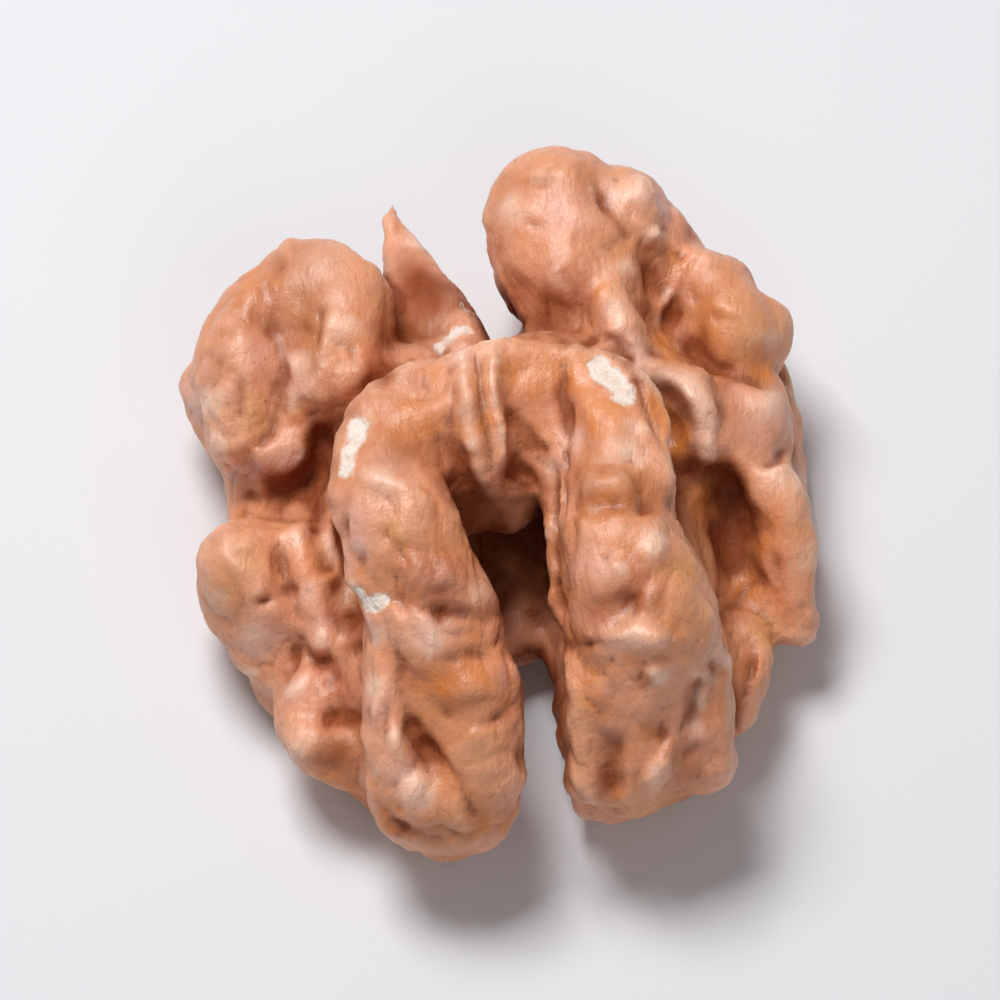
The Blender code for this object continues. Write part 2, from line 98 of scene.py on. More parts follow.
# Creases: (half width, depth, line), in millimetres across and up the view. A negative depth raises a rib.
CREASES = {
    "left_lobe": [
        (0.42, 0.18, [(-9.8, 14.1), (-10.6, 13.8), (-11.1, 12.8), (-11.0, 11.4), (-10.6, 9.8)]),
        (0.36, 0.18, [(-10.6, 9.8), (-10.2, 8.4), (-10.4, 7.2)]),
        (0.3, 0.14, [(-10.7, 7.4), (-11.0, 6.1), (-11.9, 5.2), (-12.3, 4.3)]),
        (0.3, 0.22, [(-8.1, 12.0), (-8.7, 11.2), (-8.95, 10.4), (-8.9, 9.4), (-9.1, 8.0)]),
        (0.5, -0.14, [(-9.9, 13.4), (-9.8, 12.0), (-9.6, 10.6)]),
        (0.45, -0.18, [(-9.7, 10.0), (-9.9, 8.2), (-10.0, 6.8)]),
        (0.26, 0.14, [(-7.9, 10.2), (-7.2, 9.9), (-7.1, 9.3), (-7.7, 9.0)]),
        (0.3, 0.18, [(-8.4, 8.4), (-8.0, 7.2), (-7.2, 6.8)]),
        (0.26, 0.14, [(-13.9, 9.6), (-13.2, 9.2), (-12.6, 9.6)]),
        (0.24, 0.12, [(-10.3, 14.9), (-9.7, 14.7), (-9.1, 14.8)]),
        (0.34, 0.2, [(-12.4, 8.8), (-12.3, 7.4), (-12.7, 6.0)]),
        (0.3, 0.22, [(-8.9, 6.6), (-8.5, 5.6), (-8.8, 4.6)]),
    ],
    "middle_lobe": [
        (0.32, 0.22, [(-12.9, 3.0), (-11.6, 3.2), (-10.2, 3.3)]),
        (0.26, 0.16, [(-10.5, 1.8), (-10.4, 0.4), (-10.1, -1.0)]),
        (0.38, -0.24, [(-9.9, 1.4), (-9.6, -0.2), (-9.3, -1.4), (-8.6, -2.8)]),
        (0.3, 0.26, [(-10.1, -1.2), (-10.9, -1.6), (-12.0, -2.0)]),
        (0.24, 0.08, [(-13.4, 0.8), (-10.8, 0.6)]),
        (0.3, 0.22, [(-9.4, -3.2), (-9.9, -4.4), (-10.4, -5.3)]),
        (0.3, 0.24, [(-9.4, -3.2), (-8.8, -4.3), (-7.9, -4.5)]),
        (0.36, 0.16, [(-9.3, -7.1), (-8.3, -6.9), (-7.2, -6.9), (-6.7, -6.3)]),
        (0.3, 0.16, [(-8.9, -5.6), (-8.0, -5.0), (-7.1, -5.2)]),
    ],
    "left_leg": [
        (0.34, -0.3, [(-8.1, 4.2), (-8.4, 2.4), (-8.3, 0.8), (-7.6, -0.5), (-6.8, -1.4)]),
        (0.3, 0.26, [(-7.6, 3.4), (-7.5, 1.2), (-6.8, -0.2), (-5.9, -0.9)]),
        (0.3, 0.24, [(-5.5, -1.3), (-3.9, -1.8), (-2.5, -2.1), (-1.0, -2.3)]),
        (0.26, 0.14, [(-3.3, -4.2), (-2.0, -3.9), (-0.8, -3.9), (0.0, -3.8)]),
        (0.28, 0.16, [(-3.7, -2.3), (-2.6, -2.8), (-1.4, -3.1)]),
        (0.28, 0.16, [(-3.5, -6.2), (-2.2, -6.8), (-0.4, -6.7), (0.3, -6.3)]),
        (0.36, 0.24, [(-5.0, -5.6), (-4.5, -6.9), (-3.9, -7.9), (-3.3, -8.9)]),
        (0.34, 0.18, [(-5.2, -4.0), (-4.9, -5.6)]),
        (0.36, -0.24, [(-6.1, -2.9), (-6.0, -4.6), (-6.1, -6.4), (-6.3, -7.6)]),
        (0.36, -0.2, [(-5.3, -6.8), (-5.0, -8.2), (-4.5, -9.4)]),
        (0.24, 0.14, [(-5.75, -5.6), (-5.7, -7.0), (-5.6, -8.4)]),
        (0.26, 0.28, [(0.3, -7.4), (0.5, -8.4), (0.7, -9.3)]),
        (0.26, 0.12, [(-1.0, -8.5), (-0.3, -8.1), (0.4, -8.1)]),
        (0.3, 0.34, [(-6.3, -10.5), (-5.7, -11.4), (-4.4, -12.0), (-3.2, -12.1)]),
        (0.28, 0.16, [(-2.4, -9.9), (-1.9, -11.0), (-0.9, -11.8)]),
        (0.24, 0.12, [(-5.3, -10.0), (-5.0, -10.9), (-4.2, -11.3)]),
        (0.5, -0.16, [(-7.2, 4.2), (-5.5, 3.9), (-4.0, 3.2), (-3.0, 2.3)]),
        (0.3, -0.12, [(-4.3, 6.4), (-3.3, 5.3)]),
        (0.26, 0.14, [(-3.8, 6.6), (-3.4, 5.9), (-3.0, 5.0)]),
        (0.26, 0.1, [(-6.4, 1.6), (-5.2, 1.0), (-4.4, 0.0)]),
    ],
    "arch": [
        (0.4, -0.3, [(-2.2, 10.0), (-2.1, 8.0), (-2.0, 6.4), (-1.6, 4.8), (-1.3, 3.8)]),
        (0.3, -0.3, [(-1.0, 10.0), (-0.7, 7.4), (-0.45, 5.8), (-0.5, 4.0)]),
        (0.2, 0.14, [(-1.5, 9.6), (-1.35, 7.4), (-1.2, 5.4), (-0.9, 4.2)]),
        (0.36, 0.2, [(-0.1, 9.2), (0.0, 7.6), (0.2, 6.4), (1.2, 4.9)]),
        (0.4, 0.22, [(0.3, 5.4), (0.3, 3.6)]),
        (0.34, 0.14, [(-2.8, 8.6), (-2.7, 7.2), (-2.5, 5.6)]),
        (0.34, -0.16, [(0.9, 6.5), (1.6, 5.6), (2.0, 4.4)]),
    ],
    "right_leg": [
        (0.26, 0.32, [(2.35, 9.0), (2.35, 6.0), (2.2, 3.2), (2.0, 1.0), (2.0, -1.0), (2.3, -2.4)]),
        (0.38, 0.2, [(3.0, 2.6), (4.4, 2.8), (6.2, 2.6), (7.2, 2.2)]),
        (0.24, 0.16, [(7.4, 3.4), (7.0, 2.6), (7.3, 1.8)]),
        (0.26, 0.24, [(2.2, -3.6), (3.2, -3.5), (4.2, -3.4)]),
        (0.38, -0.2, [(4.0, -3.2), (5.3, -3.0), (7.8, -3.4)]),
        (0.42, 0.2, [(3.6, -1.9), (5.2, -1.5), (6.6, -1.6)]),
        (0.26, 0.22, [(5.9, -4.3), (5.6, -4.9), (5.4, -5.6)]),
        (0.6, 0.3, [(4.3, -6.8), (4.3, -9.0), (4.5, -10.8)]),
        (0.3, 0.12, [(7.1, -6.2), (6.9, -7.2), (6.5, -8.3)]),
        (0.4, -0.22, [(7.0, -8.0), (6.6, -9.2), (6.4, -10.4)]),
        (0.24, 0.16, [(5.9, -8.6), (5.7, -10.2)]),
        (0.28, 0.1, [(8.1, -4.4), (8.1, -6.4), (7.6, -8.0)]),
        (0.3, -0.2, [(8.6, -4.9), (8.65, -6.6)]),
        (0.28, -0.16, [(9.4, -3.0), (9.55, -5.0)]),
        (0.24, 0.14, [(9.1, -3.4), (9.1, -5.4)]),
        (0.26, 0.14, [(7.2, -8.6), (8.2, -8.2), (9.2, -8.6)]),
        (0.34, -0.16, [(3.0, -4.6), (3.0, -7.4), (3.1, -9.6)]),
        (0.3, 0.3, [(11.0, -3.5), (10.9, -5.0), (10.4, -6.3)]),
        (0.26, 0.12, [(3.1, 7.4), (3.3, 5.6), (3.0, 4.0)]),
    ],
    "right_lobe": [
        (0.26, 0.16, [(4.0, 17.6), (4.5, 16.4), (5.1, 15.4), (5.8, 14.8)]),
        (0.5, 0.2, [(6.3, 14.4), (6.4, 13.2), (6.2, 12.0)]),
        (0.3, -0.26, [(5.8, 15.5), (6.4, 15.0), (7.0, 14.8)]),
        (0.26, -0.28, [(8.5, 14.4), (7.5, 12.9), (6.9, 11.8), (6.8, 10.9)]),
        (0.22, 0.3, [(7.5, 12.2), (7.3, 11.3), (7.2, 10.7)]),
        (0.22, 0.14, [(0.2, 17.5), (1.2, 17.6), (2.4, 17.6)]),
        (0.26, 0.1, [(-0.3, 15.8), (0.8, 15.5), (2.0, 15.5)]),
        (0.26, 0.14, [(-0.2, 13.4), (0.4, 12.8), (1.0, 13.0)]),
        (0.2, 0.12, [(3.6, 17.8), (4.0, 17.0), (4.6, 15.8)]),
        (0.3, 0.26, [(7.8, 10.4), (8.6, 9.6), (9.4, 9.1), (10.6, 8.8), (11.6, 8.3), (12.2, 8.1)]),
        (0.4, 0.26, [(5.9, 10.6), (6.4, 9.9), (7.3, 9.2)]),
        (0.7, -0.3, [(4.6, 13.4), (4.5, 11.6), (5.2, 10.0), (6.0, 8.9), (7.2, 8.2), (8.5, 7.4), (8.8, 6.2),
            (8.7, 4.9)]),
        (0.18, 0.14, [(8.4, 7.0), (8.8, 6.2), (8.8, 5.2)]),
        (0.26, 0.36, [(4.4, 10.2), (5.3, 9.2), (6.0, 8.0), (6.4, 6.8), (7.0, 5.6)]),
        (0.28, 0.22, [(9.5, 8.2), (9.6, 6.6), (9.4, 5.2)]),
        (0.3, 0.26, [(11.0, 4.9), (11.8, 4.8), (12.9, 5.4)]),
        (0.26, 0.1, [(8.2, 12.8), (9.0, 11.6), (10.4, 10.8)]),
        (0.26, 0.14, [(12.5, 9.6), (12.4, 8.8), (12.5, 7.6)]),
        (0.3, 0.14, [(10.8, 3.3), (11.8, 0.8), (12.2, -1.6)]),
        (0.26, 0.14, [(-3.6, 14.4), (-4.0, 12.8), (-3.6, 11.2)]),
    ],
}

# Small round swells of the skin: (x, y, radius, height), placed in the view as the creases are. A negative
# height makes a dip.
KNOBS = [
    (-13.9, 7.4, 0.9, 0.16),
    (-13.1, 5.5, 0.7, 0.16),
    (-11.7, 6.8, 0.8, 0.1),
    (-12.4, 10.2, 0.6, 0.12),
    (-7.7, 10.9, 0.6, 0.14),
    (-9.4, 5.0, 0.5, 0.18),
    (-8.35, -3.4, 0.5, 0.3),
    (-11.3, -3.3, 0.9, 0.14),
    (-11.8, -5.0, 0.4, 0.16),
    (-9.7, -5.4, 0.7, 0.18),
    (-9.7, -8.2, 0.5, 0.18),
    (-4.4, -9.9, 0.7, 0.2),
    (-3.4, -3.2, 0.8, 0.14),
    (-4.8, -0.2, 0.7, -0.12),
    (4.75, 0.0, 0.35, 0.18),
    (6.3, 0.95, 0.55, 0.2),
    (4.2, 0.3, 0.3, -0.14),
    (6.4, -4.65, 0.45, 0.24),
    (5.2, 5.2, 0.6, 0.14),
    (6.0, 4.4, 0.5, 0.12),
    (8.4, -7.6, 0.7, 0.14),
    (5.0, -10.6, 0.5, 0.14),
    (5.7, 17.1, 0.8, 0.16),
    (6.45, 15.0, 0.4, 0.2),
    (7.5, 16.5, 0.8, 0.12),
    (0.1, 16.2, 0.7, 0.12),
    (2.2, 17.0, 0.6, -0.1),
    (2.2, 16.0, 0.6, -0.12),
    (2.1, 15.0, 0.6, -0.12),
    (2.1, 14.2, 0.5, -0.1),
    (6.5, 7.9, 0.8, -0.3),
    (6.9, 6.9, 0.8, -0.36),
    (7.3, 6.0, 0.7, -0.3),
    (11.6, 7.4, 0.7, 0.12),
    (12.1, 4.4, 0.5, 0.16),
    (13.2, 4.0, 0.5, 0.12),
    (-0.6, 12.1, 0.6, 0.1),
]

# Places where the skin lies smooth: (x, y, radius), in the view
CALM = [
    (1.2, 16.0, 3.2),
    (9.4, 11.8, 2.2),
    (11.4, 10.2, 1.6),
    (11.0, 6.6, 2.0),
    (6.9, 7.2, 1.4),
    (7.6, 5.8, 1.2),
    (12.4, 3.6, 1.6),
    (13.2, 0.6, 1.6),
    (-7.6, 13.2, 2.4),
    (-10.6, 12.6, 2.2),
    (-9.4, 10.2, 1.8),
    (-2.2, -5.2, 1.6),
    (5.4, -8.4, 1.6),
    (-8.2, 8.8, 1.8),
    (-11.6, 9.0, 1.6),
    (-4.8, -7.2, 1.8),
    (8.6, -5.6, 1.6),
    (4.6, 8.0, 1.6),
    (-5.6, 6.2, 1.6),
    (-12.4, 0.2, 1.6),
    (0.8, 8.6, 1.4),
    (-4.2, 12.6, 1.4),
]

# Soft spots of colour in the skin: (x, y, radius, strength), placed in the view as the creases are. Some are
# stains, some painted shade and painted highlights.
STAINS_AND_PAINTED_LIGHT = {
    "amber": [
        (-2.5, -5.2, 0.9, 0.9),
        (-1.4, -5.1, 0.8, 0.8),
        (-3.2, -5.2, 0.5, 0.7),
        (-0.8, -11.5, 0.6, 0.9),
        (4.3, 6.7, 1.0, 1.0),
        (2.8, 8.2, 0.5, 0.8),
        (3.3, 9.2, 0.4, 0.7),
        (6.5, 7.7, 0.6, 0.8),
        (6.9, 6.9, 0.8, 1.1),
        (7.4, 6.0, 0.8, 1.1),
        (7.8, 5.2, 0.6, 0.8),
        (6.8, 10.1, 0.6, 1.0),
        (7.3, 9.4, 0.5, 0.8),
        (11.6, 9.1, 0.6, 1.0),
        (-12.1, 13.6, 0.5, 0.9),
        (-12.2, 12.6, 0.4, 0.7),
        (-13.1, 4.7, 0.7, 0.7),
        (-4.8, 6.4, 1.0, 0.5),
        (-3.5, 6.1, 0.4, 0.7),
        (-0.2, 9.0, 0.7, 0.5),
        (1.8, 8.8, 0.9, 0.5),
        (5.0, -10.5, 0.5, 0.8),
        (4.5, 3.5, 1.0, 0.9),
        (2.2, -1.3, 0.4, 1.0),
        (1.5, -0.7, 0.4, 0.9),
        (-5.6, -11.6, 0.7, 1.0),
        (-8.7, -9.4, 0.8, 0.9),
        (-7.3, -10.1, 0.6, 0.9),
        (10.5, -0.9, 0.9, 0.9),
        (11.4, 0.9, 0.6, 0.7),
        (12.2, 2.4, 0.7, 0.7),
        (-0.9, 15.1, 0.6, 0.6),
        (0.9, 5.8, 0.5, 0.8),
        (8.7, 3.6, 0.6, 0.7),
        (10.9, -4.7, 0.7, 0.9),
        (-1.3, 6.2, 0.25, 0.8),
        (8.9, 2.6, 0.9, 0.7),
        (13.1, 2.0, 0.9, 0.5),
        (9.8, 11.4, 1.4, 0.6),
        (3.9, -6.2, 0.5, 0.7),
        (-2.8, -9.6, 0.8, 0.4),
    ],
    # Partly red-brown skin tone, partly painted shade under the knob, in hollows and furrows and in the
    # germ's pit
    "red": [
        (-3.1, -0.3, 0.8, 0.9),
        (-4.3, -0.4, 0.6, 0.7),
        (-11.3, 4.4, 0.8, 0.8),
        (-7.3, 7.4, 0.8, 1.0),
        (-6.2, 9.2, 0.7, 0.9),
        (5.6, -1.1, 0.9, 0.8),
        (3.8, -2.0, 0.8, 0.7),
        (8.3, -9.2, 0.7, 0.5),
        (6.4, 13.3, 0.6, 1.0),
        (6.2, 12.0, 0.5, 0.8),
        (-7.3, -2.6, 0.6, 1.0),
        (-7.8, -5.3, 0.9, 1.0),
        (1.9, 12.9, 1.0, 0.9),
        (3.0, 12.2, 0.7, 0.7),
        (0.3, 12.3, 0.7, 0.8),
        (-2.9, 3.9, 0.6, 0.9),
        (-2.7, 5.2, 0.5, 0.5),
        (8.3, 15.2, 0.5, 0.9),
        (-4.4, 13.0, 0.8, 0.7),
        (-3.3, 12.2, 0.7, 0.7),
        (0.0, -6.7, 0.6, 0.6),
        (1.4, 3.4, 0.35, 0.9),
        (9.7, 8.1, 0.6, 0.5),
        (2.8, -3.4, 0.5, 0.6),
        (-0.7, 4.0, 0.4, 0.7),
        (-2.4, -5.2, 0.8, 0.4),
        (-3.2, -0.2, 0.9, 0.3),
        (-3.0, -0.9, 1.0, 0.5),
        (-12.2, 11.6, 0.7, 0.5),
    ],
    # Partly brown skin tone, partly painted shade in the germ's pit, in grooves and on steps and flanks
    # turned from the light
    "brown": [
        (3.9, 3.7, 1.2, 1.0),
        (5.3, 3.4, 0.9, 0.8),
        (6.6, 3.0, 0.6, 0.6),
        (-5.4, 5.2, 1.1, 0.9),
        (-4.0, 5.4, 0.9, 0.7),
        (-5.4, 7.2, 0.9, 0.4),
        (-8.2, -8.3, 0.9, 1.0),
        (-7.2, -8.8, 0.7, 0.8),
        (-9.0, -9.0, 0.7, 0.6),
        (-4.2, 12.5, 1.0, 1.0),
        (-4.9, 13.8, 0.7, 0.8),
        (-3.4, 11.2, 0.8, 0.8),
        (-4.6, 10.6, 0.8, 0.9),
        (-5.9, 11.0, 0.7, 0.8),
        (-6.3, 12.4, 0.5, 0.5),
        (-8.6, 14.4, 1.0, 0.3),
        (-3.6, 0.2, 0.9, 0.7),
        (-5.0, 0.2, 0.8, 0.5),
        (-3.4, 1.8, 0.8, 0.4),
        (-1.2, -10.9, 0.9, 0.6),
        (4.6, -1.6, 1.0, 0.6),
        (6.2, -1.4, 0.8, 0.6),
        (7.8, -1.6, 0.7, 0.4),
        (5.6, -8.4, 0.8, 0.6),
        (7.6, -9.8, 0.8, 0.4),
        (10.9, -4.8, 0.8, 0.6),
        (-7.6, 6.4, 0.7, 0.7),
        (-12.0, 11.2, 0.6, 0.6),
        (-13.4, 9.4, 0.6, 0.5),
        (9.2, 12.6, 0.8, 0.5),
        (9.8, 9.9, 0.8, 0.4),
        (0.4, 7.4, 0.8, 0.4),
        (-2.9, 6.8, 0.5, 0.6),
        (-3.0, -12.4, 1.2, 0.5),
        (-2.4, -5.2, 1.1, 0.9),
        (-9.4, 13.4, 1.6, 0.55),
        (-9.6, 10.8, 1.4, 0.5),
        (9.8, 11.4, 1.4, 0.6),
        (4.4, -7.6, 0.6, 0.6),
        (4.4, -9.4, 0.7, 0.6),
        (-2.4, -7.8, 1.2, 0.3),
        (-9.3, -1.8, 0.8, 0.4),
        (-9.6, 12.6, 1.2, 0.3),
        (0.8, 16.6, 1.8, 0.2),
        (10.8, 6.6, 1.2, 0.5),
        (-9.5, 9.0, 1.0, 0.35),
    ],
    # Painted shade in furrows, hollows and grooves, along the arch's edge and on flanks turned from the
    # light
    "dark": [
        (-8.6, 5.2, 0.4, 0.8),
        (-8.8, 4.0, 0.6, 1.2),
        (-8.8, 2.8, 0.6, 1.3),
        (-8.9, 1.6, 0.5, 1.2),
        (-8.4, 0.0, 0.35, 1.0),
        (-7.9, -1.1, 0.4, 1.3),
        (-7.4, -2.4, 0.4, 1.0),
        (-7.1, -3.6, 0.4, 0.9),
        (-7.0, -6.7, 0.45, 1.1),
        (-8.2, -6.9, 0.4, 0.9),
        (-10.2, -4.9, 0.4, 0.8),
        (-5.9, 8.6, 0.6, 1.1),
        (-5.4, 10.2, 0.6, 1.0),
        (-5.5, 11.6, 0.4, 0.7),
        (-0.4, 11.2, 0.7, 0.5),
        (0.9, 10.9, 0.6, 0.6),
        (2.2, 10.5, 0.6, 0.6),
        (3.4, 10.3, 0.4, 0.8),
        (8.5, 4.0, 0.6, 0.3),
        (9.3, 1.6, 0.7, 0.2),
        (9.8, 0.4, 0.7, 0.3),
        (11.9, 0.2, 0.3, 0.6),
        (-4.2, 12.4, 1.3, 0.9),
        (0.4, 4.0, 0.6, 0.9),
        (0.8, 5.6, 0.35, 0.7),
        (-2.4, 3.0, 0.5, 0.9),
        (-3.0, 3.8, 0.4, 0.5),
        (7.35, 11.4, 0.3, 1.2),
        (4.4, -9.2, 0.5, 0.5),
        (4.5, -10.0, 0.3, 0.7),
        (6.7, -7.4, 0.3, 0.3),
        (2.3, -1.4, 0.3, 0.7),
        (-3.7, -8.2, 0.4, 0.7),
        (-4.4, -7.0, 0.3, 0.6),
        (-5.0, -11.7, 0.3, 1.0),
        (0.5, -8.5, 0.35, 1.0),
        (5.7, -5.0, 0.3, 0.8),
        (-11.2, 6.0, 0.3, 0.6),
        (-10.6, 8.0, 0.3, 0.5),
        (-9.2, 10.9, 0.25, 0.6),
        (-3.0, 12.8, 1.0, 0.5),
        (4.2, 3.5, 1.0, 0.6),
        (-8.0, -8.2, 0.9, 0.6),
        (-8.3, 4.6, 0.5, 0.4),
        (-5.0, 5.0, 0.9, 0.2),
        (-2.2, -5.2, 1.0, 0.35),
        (0.2, 10.6, 0.3, 0.4),
        (1.2, 10.4, 0.3, 0.4),
        (2.4, 10.1, 0.3, 0.4),
        (3.6, 10.2, 0.3, 0.5),
        (4.6, 9.9, 0.3, 0.8),
        (5.2, 9.2, 0.3, 0.8),
        (5.8, 8.3, 0.3, 0.8),
        (6.2, 7.4, 0.25, 0.7),
    ],
    "olive": [
        (-11.7, 6.8, 0.8, 1.0),
        (-13.2, -1.4, 0.6, 0.9),
        (-12.2, 0.5, 1.0, 0.8),
        (-9.0, 11.4, 1.2, 0.4),
        (9.6, 11.6, 1.3, 1.0),
        (10.6, 10.4, 1.0, 0.8),
        (8.0, 0.0, 0.8, 0.9),
        (3.0, -6.4, 0.8, 0.5),
        (3.0, -9.0, 0.8, 0.5),
        (-2.2, -11.2, 0.5, 1.0),
        (-1.4, -8.4, 0.9, 0.6),
        (-5.2, 1.5, 0.7, 0.9),
        (-2.4, 0.9, 0.9, 0.4),
        (7.8, 5.2, 0.5, 0.8),
        (8.4, -2.2, 0.8, 0.6),
        (-8.0, -8.1, 0.9, 0.9),
        (12.8, 8.6, 0.4, 0.9),
        (11.6, -2.9, 0.7, 0.8),
        (-3.0, -12.6, 1.0, 0.5),
    ],
    "pink": [
        (2.3, 16.4, 1.2, 0.8),
        (4.4, 16.9, 0.6, 1.0),
        (7.5, 16.6, 0.8, 1.1),
        (5.2, 10.3, 0.7, 0.9),
        (7.8, 10.1, 0.4, 0.8),
        (8.3, 7.4, 0.7, 1.1),
        (10.1, 8.0, 0.5, 0.7),
        (11.2, 6.4, 1.3, 0.9),
        (2.9, 5.8, 0.5, 1.1),
        (3.6, 0.2, 0.9, 0.8),
        (3.4, -2.2, 0.7, 0.7),
        (8.4, -7.6, 0.7, 0.9),
        (6.4, -9.2, 0.5, 0.8),
        (-2.4, 9.6, 0.5, 0.8),
        (-4.4, 8.0, 0.7, 0.5),
        (-6.8, 0.9, 0.7, 1.1),
        (-6.9, 2.4, 0.7, 0.8),
        (-3.5, -3.0, 0.9, 1.1),
        (-6.4, -2.5, 0.5, 0.8),
        (-6.1, -6.3, 0.7, 0.9),
        (-4.6, -9.4, 0.9, 1.0),
        (-0.3, -5.2, 0.5, 0.6),
        (-9.8, 8.5, 0.8, 1.1),
        (-11.4, 9.8, 0.9, 0.7),
        (-10.2, 4.6, 1.0, 0.8),
        (-9.3, -1.4, 0.7, 0.8),
        (-8.6, -2.8, 0.5, 0.9),
        (-11.3, -3.3, 0.9, 0.9),
        (-9.7, -5.4, 0.6, 0.9),
        (-4.6, 15.2, 0.6, 0.9),
        (-3.6, 13.4, 0.8, 0.8),
        (6.2, 9.4, 0.7, 0.8),
        (8.8, 5.8, 0.6, 0.9),
    ],
    # Painted highlights on crests, knobs and rims
    "pale": [
        (6.3, 1.0, 0.5, 1.4),
        (4.75, 0.0, 0.3, 1.2),
        (8.65, -5.9, 0.35, 1.2),
        (8.6, -5.0, 0.35, 0.9),
        (9.4, -3.9, 0.4, 0.9),
        (6.4, -4.7, 0.4, 1.2),
        (5.3, -3.1, 0.8, 0.6),
        (6.5, -9.4, 0.5, 0.7),
        (8.3, -7.2, 0.5, 0.8),
        (-4.3, -10.0, 0.7, 1.2),
        (-5.2, -7.6, 0.5, 0.9),
        (-6.1, -5.2, 0.5, 0.9),
        (-6.1, -3.2, 0.4, 0.8),
        (-3.5, -3.1, 0.7, 1.0),
        (-1.2, -1.2, 0.6, 0.7),
        (-7.9, 0.8, 0.5, 0.9),
        (-7.2, -1.1, 0.4, 0.9),
        (-6.7, 0.8, 0.5, 0.4),
        (-5.6, 3.8, 0.8, 0.8),
        (5.6, 17.0, 0.9, 0.7),
        (6.4, 15.0, 0.4, 1.3),
        (4.4, 17.0, 0.5, 0.5),
        (0.1, 16.2, 0.6, 0.9),
        (5.0, 13.6, 0.6, 0.9),
        (4.6, 11.4, 0.6, 1.0),
        (5.3, 10.0, 0.6, 1.0),
        (6.0, 9.0, 0.5, 0.9),
        (7.0, 8.4, 0.6, 1.2),
        (8.4, 7.4, 0.6, 1.0),
        (8.8, 6.2, 0.5, 1.2),
        (8.7, 5.2, 0.4, 0.9),
        (7.2, 12.5, 0.3, 0.9),
        (6.85, 11.3, 0.25, 1.0),
        (11.6, 7.4, 0.8, 0.8),
        (11.9, 10.3, 0.6, 0.6),
        (5.1, 5.2, 0.6, 1.1),
        (5.9, 4.6, 0.4, 0.6),
        (5.7, 6.2, 0.4, 0.8),
        (2.8, 5.7, 0.4, 0.8),
        (12.1, 4.4, 0.5, 1.0),
        (13.2, 4.0, 0.5, 0.8),
        (13.3, 2.2, 0.6, 0.3),
        (13.6, 0.4, 0.6, 0.5),
        (-13.9, 7.4, 0.7, 1.3),
        (-13.2, 5.7, 0.5, 0.8),
        (-9.8, 9.2, 0.5, 1.0),
        (-9.9, 7.6, 0.5, 1.0),
        (-7.7, 10.8, 0.6, 0.8),
        (-9.2, 4.9, 0.4, 0.7),
        (-8.6, 13.6, 1.0, 0.4),
        (-10.0, 1.0, 0.4, 0.9),
        (-9.3, -1.2, 0.5, 0.6),
        (-8.35, -3.4, 0.45, 1.3),
        (-11.3, -3.3, 0.7, 0.9),
        (-11.8, -5.0, 0.35, 1.1),
        (-9.7, -5.4, 0.5, 0.7),
        (-9.7, -8.2, 0.4, 1.1),
        (-13.2, -1.6, 0.4, 0.6),
        (1.9, 4.6, 0.4, 0.9),
        (1.4, 1.4, 0.4, 0.6),
        (-2.1, 7.0, 0.5, 0.6),
        (-1.9, 5.4, 0.4, 0.7),
        (-2.3, 9.4, 0.5, 0.6),
        (-0.7, 7.3, 0.35, 0.8),
        (-0.9, 9.2, 0.3, 0.7),
        (-4.6, 15.0, 0.5, 0.9),
        (-3.0, 10.2, 0.5, 0.6),
        (-2.2, 8.2, 0.4, 0.5),
        (-0.8, 8.3, 0.3, 0.5),
        (-0.6, 6.0, 0.3, 0.5),
        (-0.8, 10.0, 0.3, 0.6),
        (-6.5, 6.4, 0.5, 0.6),
        (7.8, 8.1, 0.6, 0.8),
    ],
}

# Places where the skin is broken and the pale flesh shows: (radius, line), in the view.
CHIPS = [
    (0.46, [(-6.8, 6.4), (-7.1, 5.6), (-7.4, 4.4)]),
    (0.62, [(4.0, 9.0), (4.6, 8.3), (5.1, 7.7)]),
    (0.42, [(-6.8, -1.2), (-6.3, -1.7), (-5.8, -1.5)]),
    (0.26, [(-3.4, 9.8), (-2.9, 10.4), (-2.0, 10.8)]),
    (0.22, [(-2.2, 11.9), (-1.4, 11.8)]),
]

# Colours of the skin, of the flesh under it, and of the painted shade and painted highlights
TAN = (0.73, 0.30, 0.14)
ROSY_TAN = (0.80, 0.36, 0.21)
PINK_SKIN = (0.83, 0.44, 0.36)
AMBER_SKIN = (0.72, 0.23, 0.04)
# Red skin tone, also used as painted shade
RED_SKIN_AND_PAINTED_SHADE = (0.46, 0.12, 0.045)
# Brown skin tone, also used as painted shade
BROWN_SKIN_AND_PAINTED_SHADE = (0.50, 0.175, 0.075)
OLIVE_SKIN = (0.70, 0.34, 0.13)
# Painted highlights on crests and at the pale spots
PAINTED_HIGHLIGHT = (0.96, 0.64, 0.49)
# Painted shade for hollows and furrows
PAINTED_FURROW_SHADE = (0.21, 0.045, 0.013)
# Painted shade for folds and creases
PAINTED_CREASE_SHADE = (0.28, 0.07, 0.022)
VEIN = (0.40, 0.15, 0.10)
SPECK = (0.48, 0.18, 0.09)
FLESH_LIGHT = (0.88, 0.78, 0.71)
FLESH_SHADE = (0.80, 0.62, 0.52)
FLOOR_COLOUR = (0.75, 0.775, 0.83)


def as_arrays(mesh):
    """The mesh's points in millimetres and their normals."""
    points = np.empty(len(mesh.vertices) * 3)
    mesh.vertices.foreach_get("co", points)
    normals = np.empty(len(mesh.vertices) * 3)
    mesh.vertex_normals.foreach_get("vector", normals)
    return points.reshape(-1, 3) / MM, normals.reshape(-1, 3)


def in_view(points):
    """Places in the view, in millimetres across and up from the view's zero."""
    moved = points - VIEW_ZERO
    return np.stack((moved[:, 0], moved @ UP_IN_VIEW), axis=1)


